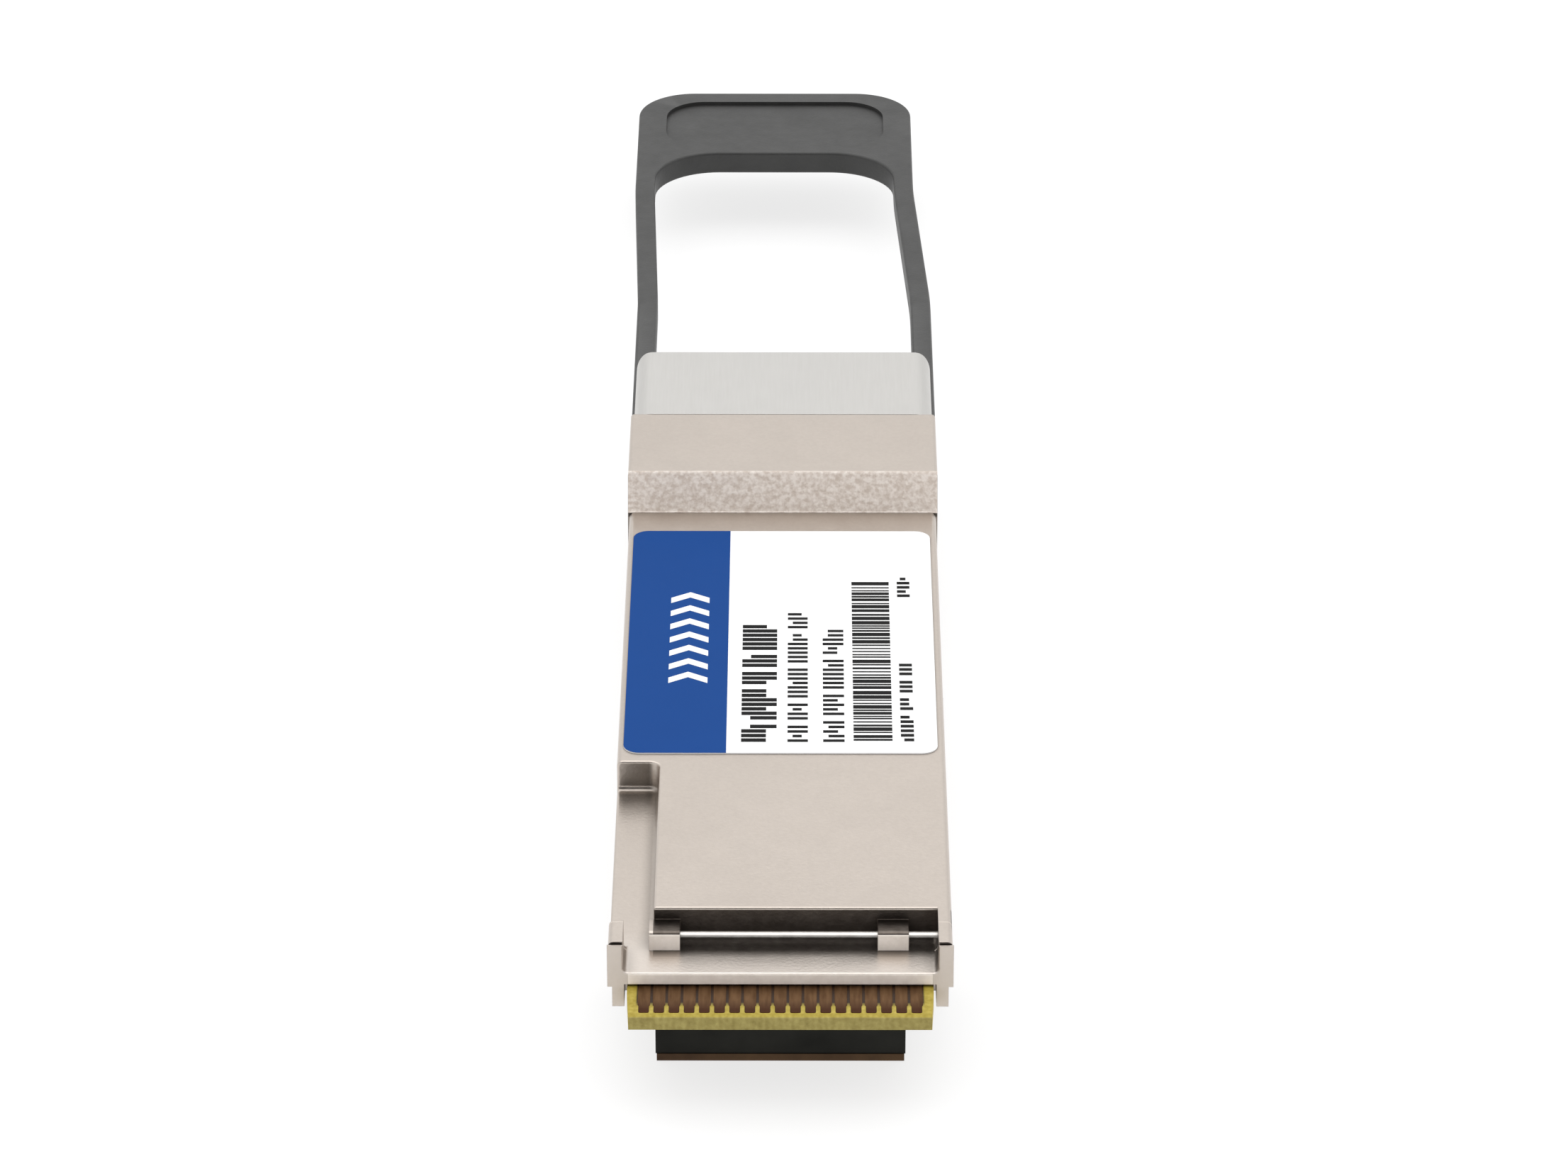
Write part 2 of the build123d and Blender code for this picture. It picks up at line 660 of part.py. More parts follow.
with BuildPart() as port_insert:
    slab(-insert_width / 2 + insert_gap, insert_width / 2 - insert_gap, insert_front_y, nose_length - port_lip,
         port_center_height - insert_height / 2 + insert_gap,
         port_center_height + insert_height / 2 - insert_gap)
    # the port itself
    slab(-port_width / 2, port_width / 2, port_floor_y, nose_length,
         port_center_height - port_height / 2, port_center_height + port_height / 2, Mode.SUBTRACT)
    # keyway in the port's label-side wall
    slab(-keyway_width / 2, keyway_width / 2, port_floor_y + keyway_setback, nose_length,
         port_center_height + port_height / 2, port_center_height + port_height / 2 + keyway_depth,
         Mode.SUBTRACT)
    # hole for the ferrule
    slab(-ferrule_width / 2 - insert_gap, ferrule_width / 2 + insert_gap, insert_front_y, port_floor_y,
         port_center_height - ferrule_height / 2 - insert_gap,
         port_center_height + ferrule_height / 2 + insert_gap, Mode.SUBTRACT)
    # hooks that grip the plug, one on each side
    for side in (-1, 1):
        with BuildSketch(Plane.XY.offset(port_center_height - hook_height / 2)):
            with BuildLine():
                Polyline(
                    (side * hook_gap / 2, port_floor_y - hook_root),
                    (side * (hook_gap / 2 + hook_thickness), port_floor_y - hook_root),
                    (side * (hook_gap / 2 + hook_thickness), port_floor_y + hook_length),
                    (side * hook_gap / 2, port_floor_y + hook_length),
                    (side * (hook_gap / 2 - hook_catch), port_floor_y + hook_length - hook_catch),
                    (side * (hook_gap / 2 - hook_catch), port_floor_y + hook_length - hook_catch_length),
                    (side * hook_gap / 2, port_floor_y + hook_length - hook_catch_length),
                    close=True,
                )
            make_face()
        extrude(amount=hook_height)
finish(port_insert, "port_insert")

# =====================================================================================
# Latch: slider, pull tab and return springs
# =====================================================================================

with BuildPart() as latch_slider:
    # bridge over the nose, bent down at both sides
    with BuildSketch(Plane.XZ.offset(-slider_start_y)):
        with Locations((0, nose_height / 2)):
            RectangleRounded(slider_width, nose_height, slider_bend_radius)
            RectangleRounded(slider_width - 2 * sheet, nose_height - 2 * sheet,
                             slider_bend_radius - sheet, mode=Mode.SUBTRACT)
        with Locations((0, slider_skirt_bottom / 2)):
            Rectangle(slider_width + overcut, slider_skirt_bottom, mode=Mode.SUBTRACT)
    extrude(amount=-slider_length)
    # rounded corners at the far end
    with BuildSketch(Plane.XY.offset(slider_skirt_bottom - overcut)):
        with Locations((0, nose_length - slider_corner_radius)):
            Rectangle(slider_width + 2 * overcut, slider_corner_radius + overcut,
                      align=(Align.CENTER, Align.MIN))
        with Locations((0, nose_length - slider_length)):
            RectangleRounded(slider_width, 2 * slider_length, slider_corner_radius, mode=Mode.SUBTRACT)
    extrude(amount=nose_height + 2 * overcut, mode=Mode.SUBTRACT)
    # side arms with ramped tips that free the cage's springs
    both_sides(arm_x - sheet / 2, arm_x + sheet / 2, -arm_reach, slider_start_y + arm_overlap,
               arm_center_height - arm_height / 2, arm_center_height + arm_height / 2)
    for side in (-1, 1):
        with BuildSketch(Plane.XY.offset(arm_center_height - arm_height / 2)):
            with BuildLine():
                Polyline(
                    (side * (arm_x + sheet / 2), -arm_reach),
                    (side * (arm_x + sheet / 2 + arm_tip_rise), -arm_reach + arm_tip_length / 2),
                    (side * (arm_x + sheet / 2), -arm_reach + arm_tip_length),
                    close=True,
                )
            make_face()
        extrude(amount=arm_height)
    # lugs that push the springs, and tongues that the pull tab is moulded on
    both_sides(spring_x - spring_radius, arm_x, lug_y, lug_y + sheet,
               arm_center_height - lug_height / 2, arm_center_height + lug_height / 2)
    both_sides(arm_x - sheet / 2, arm_x + sheet / 2, nose_length - 2 * slider_corner_radius,
               tab_start_y + tongue_length, tab_center_height - tongue_height / 2,
               tab_center_height + tongue_height / 2)
finish(latch_slider, "latch_slider")

with BuildPart() as pull_tab:
    root = nose_width / 2 + tab_root_proud
    left = -nose_width / 2 - tab_end_proud - tab_lean
    right = nose_width / 2 + tab_end_proud - tab_lean
    grip_y = tab_end_y - tab_grip_length
    lean_end_y = grip_y - tab_opening_radius - tab_lean_gap
    lean_start_y = lean_end_y - tab_lean_run
    outer_points = [
        (-root, tab_start_y, tab_root_radius),
        (-root, lean_start_y, tab_bend_radius),
        (left, lean_end_y, tab_bend_radius),
        (left, tab_end_y, tab_corner_radius),
        (right, tab_end_y, tab_corner_radius),
        (right, lean_end_y, tab_bend_radius),
        (root, lean_start_y, tab_bend_radius),
        (root, tab_start_y, tab_root_radius),
    ]
    inner_points = [
        (root - tab_arm_width, tab_start_y, tab_root_radius),
        (root - tab_arm_width, lean_start_y, tab_bend_radius),
        (right - tab_arm_width, lean_end_y, tab_bend_radius),
        (right - tab_arm_width, grip_y, tab_opening_radius),
        (left + tab_arm_width, grip_y, tab_opening_radius),
        (left + tab_arm_width, lean_end_y, tab_bend_radius),
        (-root + tab_arm_width, lean_start_y, tab_bend_radius),
        (-root + tab_arm_width, tab_start_y, tab_root_radius),
    ]
    outline = outer_points + inner_points
    with BuildSketch(Plane.XY.offset(tab_top - tab_thickness)):
        with BuildLine():
            FilletPolyline(
                *[(x, y) for x, y, corner_radius in outline],
                radius=[corner_radius for x, y, corner_radius in outline],
                close=True,
            )
        make_face()
    extrude(amount=tab_thickness)
    rim_edges = pull_tab.edges().group_by(Axis.Z)
    fillet(rim_edges[0] + rim_edges[-1], tab_edge_radius)
    # shallow panel in the grip
    with BuildSketch(Plane.XY.offset(tab_top - tab_panel_depth)):
        with Locations((-tab_lean, tab_end_y - tab_panel_margin - tab_panel_length / 2)):
            RectangleRounded(tab_panel_width, tab_panel_length, tab_panel_radius)
    extrude(amount=tab_panel_depth, mode=Mode.SUBTRACT)
    # sockets of the slider's tongues
    both_sides(arm_x - sheet / 2, arm_x + sheet / 2, tab_start_y, tab_start_y + tongue_length,
               tab_center_height - tongue_height / 2, tab_center_height + tongue_height / 2, Mode.SUBTRACT)
finish(pull_tab, "pull_tab")

spring_rise = spring_length - spring_wire
for name, side in (("return_spring_left", -1), ("return_spring_right", 1)):
    with BuildPart() as return_spring:
        coil_start = (side * spring_x, spring_start_y + spring_wire / 2, arm_center_height)
        with BuildLine() as coil:
            Helix(spring_rise / spring_turns, spring_rise, spring_radius,
                  center=coil_start, direction=(0, 1, 0))
        with BuildSketch(Plane(coil.line @ 0, z_dir=coil.line % 0)):
            Circle(spring_wire / 2)
        sweep(path=coil.line, is_frenet=True)
    finish(return_spring, name)

# =====================================================================================
# Screws, seals and label
# =====================================================================================

with BuildPart() as closing_screws:
    for x, y in screw_places:
        with Locations((x, y, screw_sink)):
            Cylinder(screw_radius, screw_length, align=(Align.CENTER, Align.CENTER, Align.MIN))
            Cone(screw_head_radius, screw_radius, screw_head_radius - screw_radius,
                 align=(Align.CENTER, Align.CENTER, Align.MIN))
        with Locations((x, y, screw_sink)):
            Box(screw_drive_width, screw_drive_width, screw_drive_depth,
                align=(Align.CENTER, Align.CENTER, Align.MIN), mode=Mode.SUBTRACT)
finish(closing_screws, "closing_screws")

for name, side in (("emi_seal_left", -1), ("emi_seal_right", 1)):
    with BuildPart() as emi_seal:
        slab(side * seal_x - seal_width / 2, side * seal_x + seal_width / 2, seal_start_y,
             seal_start_y + seal_length, parting_height - seal_height, parting_height)
    finish(emi_seal, name)

with BuildPart() as product_label:
    with BuildSketch(Plane.XY.offset(body_height)):
        with Locations((label_offset_x, -label_end_gap - label_length / 2)):
            RectangleRounded(label_width, label_length, label_radius)
    extrude(amount=label_thickness)
finish(product_label, "product_label")
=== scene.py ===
import bmesh
import bpy
import math
import random
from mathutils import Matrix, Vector


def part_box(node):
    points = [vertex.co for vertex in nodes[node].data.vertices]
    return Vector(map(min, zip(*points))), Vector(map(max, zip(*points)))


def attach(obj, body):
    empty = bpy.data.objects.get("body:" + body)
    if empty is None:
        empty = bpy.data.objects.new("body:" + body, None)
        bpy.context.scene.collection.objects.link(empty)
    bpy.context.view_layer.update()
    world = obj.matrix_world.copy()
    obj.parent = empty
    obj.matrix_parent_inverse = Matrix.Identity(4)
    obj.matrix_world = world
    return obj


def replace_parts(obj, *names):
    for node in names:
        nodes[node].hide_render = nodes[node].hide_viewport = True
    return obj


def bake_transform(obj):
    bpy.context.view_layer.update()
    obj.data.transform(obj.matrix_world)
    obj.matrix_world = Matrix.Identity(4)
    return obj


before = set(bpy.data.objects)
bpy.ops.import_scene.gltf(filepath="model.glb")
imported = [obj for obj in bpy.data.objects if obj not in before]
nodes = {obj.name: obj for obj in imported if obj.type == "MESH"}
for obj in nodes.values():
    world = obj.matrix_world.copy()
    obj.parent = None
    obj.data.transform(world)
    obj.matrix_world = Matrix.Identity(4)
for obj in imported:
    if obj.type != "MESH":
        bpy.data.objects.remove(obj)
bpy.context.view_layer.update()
MM = 0.001

# ---- view: the module is seen from its card edge, from above ----
CAMERA_TARGET = Vector((0.1, -9.8, 8.5)) * MM
CAMERA_DISTANCE = 391.7 * MM
CAMERA_ELEVATION = 27.2
CAMERA_AZIMUTH = 0.13
CAMERA_LENS = 154.3

# ---- places, read from the frame ----
shell_low, shell_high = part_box("label_side_shell")
label_low, label_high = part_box("product_label")
board_low, board_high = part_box("circuit_board")
pads_low, pads_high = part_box("contact_pads_label_side")
under_pads_low, under_pads_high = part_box("contact_pads_heat_sink_side")
ferrule_low, ferrule_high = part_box("port_ferrule")

# ---- sizes of the casting that no box in the frame gives ----
BODY_HALF_WIDTH = 9.125 * MM
GROOVE_WIDTH = 2.37 * MM
RAIL_WIDTH = 0.74 * MM
RECESS_LENGTH = 3.87 * MM
RECESS_FLOOR_OVER_BOARD = 0.81 * MM
BLOCK_WIDTH = 1.65 * MM
BLOCK_LENGTH = 1.47 * MM
BLOCK_INSET = 1.55 * MM
BLOCK_OVERHANG = 0.25 * MM
STEP_RUN = 1.2 * MM
STEP_FOOT_DROP = 0.3 * MM
NOSE_EDGE_RADIUS = 0.22 * MM

rail_x = BODY_HALF_WIDTH - RAIL_WIDTH
groove_x = GROOVE_WIDTH - BODY_HALF_WIDTH
body_top = label_low.z
recess_floor_z = board_high.z + RECESS_FLOOR_OVER_BOARD
recess_wall_y = shell_low.y + RECESS_LENGTH
block_face_y = recess_wall_y - BLOCK_LENGTH
left_block_x = groove_x - BLOCK_OVERHANG
right_block_x = rail_x - BLOCK_INSET - BLOCK_WIDTH

HOUSING = "housing"


# =====================================================================================
# Small helpers
# =====================================================================================

def new_material(name):
    """A node material and its Principled shader."""
    material = bpy.data.materials.new(name)
    material.use_nodes = True
    return material, material.node_tree.nodes["Principled BSDF"]


def node(material, kind, **values):
    """Adds a shader node; keys are input names with _ for spaces, or node properties."""
    made = material.node_tree.nodes.new(kind)
    for key, value in values.items():
        socket = made.inputs.get(key.replace("_", " "))
        if socket is not None:
            socket.default_value = value
        else:
            setattr(made, key, value)
    return made


def link(material, source, target):
    material.node_tree.links.new(source, target)


def object_coordinates(material):
    return node(material, "ShaderNodeTexCoord").outputs["Object"]


def noise(material, scale, detail=3.0, roughness=0.5):
    """Noise in object space; scale is in features per metre."""
    made = node(material, "ShaderNodeTexNoise", Scale=scale, Detail=detail, Roughness=roughness)
    link(material, object_coordinates(material), made.inputs["Vector"])
    return made.outputs["Fac"]


def streaked_noise(material, scales, detail):
    """Noise drawn out along one axis; scales are features per metre along X, Y and Z."""
    stretch = node(material, "ShaderNodeMapping")
    stretch.inputs["Scale"].default_value = scales
    link(material, object_coordinates(material), stretch.inputs["Vector"])
    made = node(material, "ShaderNodeTexNoise", Scale=1.0, Detail=detail)
    link(material, stretch.outputs["Vector"], made.inputs["Vector"])
    return made.outputs["Fac"]


def ramp(material, source, low, high, from_low=0.3, from_high=0.7):
    """Maps a 0 to 1 value to a colour between low and high."""
    made = material.node_tree.nodes.new("ShaderNodeValToRGB")
    made.color_ramp.elements[0].position = from_low
    made.color_ramp.elements[1].position = from_high
    made.color_ramp.elements[0].color = (*low, 1)
    made.color_ramp.elements[1].color = (*high, 1)
    link(material, source, made.inputs["Fac"])
    return made.outputs["Color"]


def remap(material, source, to_min, to_max, from_min=0.0, from_max=1.0):
    """Maps a value from one range to another, and keeps it inside."""
    made = node(material, "ShaderNodeMapRange", From_Min=from_min, From_Max=from_max,
                To_Min=to_min, To_Max=to_max)
    link(material, source, made.inputs["Value"])
    return made.outputs["Result"]


def bump(material, shader, height, strength, distance, base=None):
    """Bump on the shader's normal; distance is in metres, base is the normal to start from."""
    made = node(material, "ShaderNodeBump", Strength=strength, Distance=distance)
    link(material, height, made.inputs["Height"])
    if base is not None:
        link(material, base, made.inputs["Normal"])
    link(material, made.outputs["Normal"], shader.inputs["Normal"])


def mix(material, factor, first, second):
    """Blends two colours, or a colour output and a colour, by a 0 to 1 value."""
    made = node(material, "ShaderNodeMix", data_type="RGBA")
    link(material, factor, made.inputs["Factor"])
    for name, value in (("A", first), ("B", second)):
        socket = next(item for item in made.inputs if item.name == name and item.type == "RGBA")
        if isinstance(value, tuple):
            socket.default_value = (*value, 1)
        else:
            link(material, value, socket)
    return next(item for item in made.outputs if item.type == "RGBA")


def axes(material):
    """The place on the object, as outputs named X, Y and Z."""
    split = node(material, "ShaderNodeSeparateXYZ")
    link(material, object_coordinates(material), split.inputs["Vector"])
    return split.outputs


def openness(material, distance, closed, open_):
    """0 deep in a corner or a recess, 1 on an open face; distance is in metres."""
    made = node(material, "ShaderNodeAmbientOcclusion", Distance=distance, samples=8)
    return remap(material, made.outputs["AO"], 0.0, 1.0, closed, open_)


def math_node(material, operation, first, second=0.0):
    """One arithmetic step; second is a number or an output."""
    made = node(material, "ShaderNodeMath", operation=operation)
    link(material, first, made.inputs[0])
    if isinstance(second, (int, float)):
        made.inputs[1].default_value = second
    else:
        link(material, second, made.inputs[1])
    return made.outputs["Value"]


def over(material, value, limit):
    """1 where the value is over the limit, else 0."""
    return math_node(material, "GREATER_THAN", value, limit)


def under(material, value, limit):
    """1 where the value is under the limit, else 0."""
    return math_node(material, "LESS_THAN", value, limit)


def near(material, value, middle, half_width):
    """1 where the value is within half_width of the middle, else 0."""
    made = node(material, "ShaderNodeMath", operation="COMPARE")
    link(material, value, made.inputs[0])
    made.inputs[1].default_value = middle
    made.inputs[2].default_value = half_width
    return made.outputs["Value"]


def times(material, *values):
    """The product of outputs and numbers; the first is an output."""
    product = values[0]
    for value in values[1:]:
        product = math_node(material, "MULTIPLY", product, value)
    return product


def soft_edges(material, radius):
    """A normal that rounds the edges of a sharp mesh; radius is in metres."""
    return node(material, "ShaderNodeBevel", Radius=radius, samples=6).outputs["Normal"]


def use(material, *names):
    """Gives CAD nodes a material."""
    for name in names:
        for slot in nodes[name].material_slots:
            slot.material = material


def shade(piece, smooth_angle=35):
    """Smooth faces, sharp where they meet at more than the angle."""
    mesh = piece.data
    for polygon in mesh.polygons:
        polygon.use_smooth = True
    mesh.set_sharp_from_angle(angle=math.radians(smooth_angle))


def piece_from(name, work, material, body, smooth_angle=35):
    """A finished piece from a bmesh, riding on a body; with body None it is left unattached."""
    mesh = bpy.data.meshes.new(name)
    bmesh.ops.recalc_face_normals(work, faces=work.faces)
    work.to_mesh(mesh)
    work.free()
    made = bpy.data.objects.new(name, mesh)
    bpy.context.scene.collection.objects.link(made)
    mesh.materials.append(material)
    shade(made, smooth_angle)
    if body is not None:
        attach(made, body)
    return made


def add_block(work, low, high):
    """A box between two corners; returns its vertices."""
    made = bmesh.ops.create_cube(work, size=1.0)["verts"]
    size = Vector(high) - Vector(low)
    middle = (Vector(high) + Vector(low)) / 2
    for vertex in made:
        vertex.co = Vector(vertex.co[i] * size[i] + middle[i] for i in range(3))
    return made


def rounded_outline(x0, x1, y0, y1, radii, steps=8):
    """Corner points of a rectangle with a radius for each corner, anticlockwise from (x0, y0)."""
    corners = ((x0, y0, 180), (x1, y0, 270), (x1, y1, 0), (x0, y1, 90))
    points = []
    for (x, y, start), radius in zip(corners, radii):
        centre_x = x + radius if x == x0 else x - radius
        centre_y = y + radius if y == y0 else y - radius
        if radius <= 0:
            points.append((x, y))
            continue
        for step in range(steps + 1):
            angle = math.radians(start + 90 * step / steps)
            points.append((centre_x + radius * math.cos(angle), centre_y + radius * math.sin(angle)))
    return points


def add_loft(work, rings):
    """A closed tube through rings of points, with a flat face at each end."""
    made = [[work.verts.new(point) for point in ring] for ring in rings]
    work.faces.new(made[0])
    work.faces.new(made[-1])
    for ring, follow in zip(made, made[1:]):
        for place in range(len(ring)):
            after = (place + 1) % len(ring)
            work.faces.new((ring[place], ring[after], follow[after], follow[place]))


def add_plate(work, outline, z0, z1):
    """A flat plate with the outline's plan shape."""
    add_loft(work, [[(x, y, z) for x, y in outline] for z in (z0, z1)])


# =====================================================================================
# Materials
# =====================================================================================

OCCLUSION_REACH = 0.9 * MM
OCCLUSION_DARK = 0.15
OCCLUSION_LIGHT = 1.15
FACE_SLACK = 0.03 * MM
BLOCK_SLACK = 0.04 * MM
FLOOR_SLACK = 0.05 * MM
FLOOR_DROP = 0.02 * MM
EDGE_LINE = 0.12 * MM
PAINTED_FLOOR_LIGHT_SHARE = 0.40
PAINTED_FLOOR_LIGHT_FRONT = 1.5 * MM
PAINTED_FLOOR_LIGHT_BACK = 0.5 * MM
WALL_SHADE_START = 2.2 * MM
WALL_SHADE_FULL = 1.4 * MM
POST_START = board_high.x - 0.05 * MM


def painted_floor_light_mask(material, place):
    """Painted light: the recess floor is paler towards the card edge."""
    ahead = remap(material, place["Y"], PAINTED_FLOOR_LIGHT_SHARE, 0.0,
                  recess_wall_y - PAINTED_FLOOR_LIGHT_FRONT, recess_wall_y + PAINTED_FLOOR_LIGHT_BACK)
    return times(material, ahead, near(material, place["Z"], recess_floor_z, FLOOR_SLACK))


def painted_wall_shade_mask(material, place):
    """Painted shade, dark and patchy, on the recess wall and on the floor in the corner at its foot."""
    towards_wall = remap(material, place["Y"], 0.0, 1.0,
                         recess_wall_y - WALL_SHADE_START, recess_wall_y - WALL_SHADE_FULL)
    patches = remap(material, noise(material, 1800, 4), 0.75, 1.0)
    return times(
        material,
        towards_wall,
        under(material, place["Y"], recess_wall_y + FACE_SLACK),
        under(material, place["Z"], body_top - EDGE_LINE),
        over(material, place["Z"], recess_floor_z - FLOOR_DROP),
        over(material, place["X"], groove_x - FACE_SLACK),
        patches,
    )


def lit_face_mask(material, place):
    """The faces towards the card edge: the front, and the two stop blocks above the recess floor; they get a
    rough finish and a paler colour that is painted light.
    """
    at_front = near(material, place["Y"], shell_low.y, FACE_SLACK)
    at_block = near(material, place["Y"], block_face_y, BLOCK_SLACK)
    on_block = times(material, at_block, over(material, place["Z"], recess_floor_z + FACE_SLACK))
    return math_node(material, "MAXIMUM", at_front, on_block)


def cast_nickel():
    """Satin nickel plate on a die casting: warm and finely grained, with painted shade turning it dark brown
    in its corners, its recesses and on the recess wall, and painted light on the recess floor.
    The faces towards the card edge have a rough, dull finish, and their paler colour is painted light; the
    faces of the posts are painted darker."""
    material, shader = new_material("cast_nickel")
    place = axes(material)
    plate = ramp(material, noise(material, 90, 4), (0.632, 0.565, 0.505), (0.668, 0.598, 0.536))
    speckle = remap(material, noise(material, 4200, 2), 0.0, 0.20, 0.30, 0.70)
    plate = mix(material, speckle, plate, (0.500, 0.442, 0.388))
    # painted shade: the plate darkens towards dark brown wherever ambient occlusion finds a corner or recess
    inside = openness(material, OCCLUSION_REACH, OCCLUSION_DARK, OCCLUSION_LIGHT)
    plate = mix(material, inside, (0.036, 0.028, 0.023), plate)
    # painted light: the recess floor is mixed paler towards the card edge
    plate = mix(material, painted_floor_light_mask(material, place), plate, (0.830, 0.765, 0.705))
    # painted shade: dark brown on the recess wall and on the floor near its foot
    plate = mix(material, painted_wall_shade_mask(material, place), plate, (0.075, 0.060, 0.050))
    # painted light: the faces towards the card edge get a much paler colour, standing in for the light they
    # catch; their rough, dull finish is set below
    lit_face_colour = ramp(material, noise(material, 2600, 3),
                   (0.880, 0.800, 0.725), (0.950, 0.870, 0.795), 0.35, 0.65)
    # painted shade: the faces of the posts are made darker than the other faces towards the card edge
    post_shade_mask = over(material, math_node(material, "ABSOLUTE", place["X"]), POST_START)
    lit_face_colour = mix(material, times(material, post_shade_mask, 0.8), lit_face_colour, (0.580, 0.515, 0.455))
    matt_and_lit = lit_face_mask(material, place)
    link(material, mix(material, matt_and_lit, plate, lit_face_colour), shader.inputs["Base Color"])
    link(material, remap(material, matt_and_lit, 1.0, 0.1), shader.inputs["Metallic"])
    satin = remap(material, noise(material, 700, 3), 0.28, 0.38)
    rough = math_node(material, "ADD", satin, times(material, matt_and_lit, 0.35))
    link(material, rough, shader.inputs["Roughness"])
    bump(material, shader, noise(material, 5200, 2), 0.20, 0.00004, soft_edges(material, 0.00008))
    return material


def highlight_nickel():
    """A brighter, glossier copy of the nickel that paints a highlight on the ledge at the foot of the recess
    wall.
    """
    material, shader = new_material("highlight_nickel")
    tone = noise(material, 1500, 3)
    link(material, ramp(material, tone, (0.70, 0.67, 0.63), (0.82, 0.79, 0.75)), shader.inputs["Base Color"])
    shader.inputs["Metallic"].default_value = 1.0
    link(material, remap(material, tone, 0.16, 0.28), shader.inputs["Roughness"])
    bump(material, shader, noise(material, 4000, 2), 0.05, 0.00002)
    return material


def rough_casting():
    """The as-cast face of the nose's step: a fine worm-like relief, with painted light that makes it lighter
    on its ridges.
    """
    material, shader = new_material("rough_casting")
    worms = noise(material, 3600, 2.5, 0.55)
    # painted light: the colour follows the relief, lighter on the ridges and darker in the hollows
    link(material, ramp(material, worms, (0.600, 0.512, 0.446), (0.812, 0.737, 0.675), 0.36, 0.64),
         shader.inputs["Base Color"])
    shader.inputs["Metallic"].default_value = 0.0
    link(material, remap(material, worms, 0.75, 0.50), shader.inputs["Roughness"])
    bump(material, shader, worms, 0.35, 0.00008)
    return material


def slider_steel():
    """Rolled stainless sheet: cooler and brighter than the casting, with faint rolling lines."""
    material, shader = new_material("slider_steel")
    lines = streaked_noise(material, (9000, 350, 9000), 3.0)
    link(material, ramp(material, lines, (0.560, 0.549, 0.528), (0.578, 0.567, 0.547)),
         shader.inputs["Base Color"])
    shader.inputs["Metallic"].default_value = 1.0
    link(material, remap(material, noise(material, 900, 3), 0.34, 0.46), shader.inputs["Roughness"])
    bump(material, shader, lines, 0.03, 0.00003, soft_edges(material, 0.00006))
    return material


def tab_plastic():
    """Dark grey moulded plastic with a fine eroded texture and paler edges, a painted highlight."""
    material, shader = new_material("tab_plastic")
    body = ramp(material, noise(material, 420, 5), (0.026, 0.026, 0.025), (0.038, 0.038, 0.037))
    # painted highlight: the edges are paler where the surface is most convex
    edge_sharpness = node(material, "ShaderNodeNewGeometry").outputs["Pointiness"]
    edge = remap(material, edge_sharpness, 0.0, 0.35, 0.52, 0.60)
    link(material, mix(material, edge, body, (0.090, 0.090, 0.088)), shader.inputs["Base Color"])
    link(material, remap(material, noise(material, 1500, 3), 0.42, 0.56), shader.inputs["Roughness"])
    bump(material, shader, noise(material, 6500, 3), 0.30, 0.00004)
    return material


def plain_plastic(name, dark, light, rough, grain=5000, strength=0.15, gloss=0.5):
    material, shader = new_material(name)
    shader.inputs["Specular IOR Level"].default_value = gloss
    link(material, ramp(material, noise(material, 500, 4), dark, light), shader.inputs["Base Color"])
    link(material, remap(material, noise(material, 1800, 2), rough - 0.06, rough + 0.06),
         shader.inputs["Roughness"])
    bump(material, shader, noise(material, grain, 2), strength, 0.00003)
    return material


def plain_metal(name, dark, light, rough):
    material, shader = new_material(name)
    link(material, ramp(material, noise(material, 800, 4), dark, light), shader.inputs["Base Color"])
    shader.inputs["Metallic"].default_value = 1.0
    link(material, remap(material, noise(material, 2500, 2), rough - 0.05, rough + 0.05),
         shader.inputs["Roughness"])
    bump(material, shader, noise(material, 6000, 2), 0.08, 0.00003)
    return material


BOARD_FRONT_SLACK = 0.02 * MM
BOARD_FRONT_BLEND = 0.08 * MM
PAD_SHADE_Y = pads_low.y + 1.0 * MM
PAD_SHADE_BLEND_BEFORE = 0.35 * MM
PAD_SHADE_BLEND_AFTER = 0.1 * MM
PAD_SHADE_HALF_WIDTH = pads_high.x + 0.12 * MM
PAD_SHADE_SIDE_BLEND = 0.1 * MM


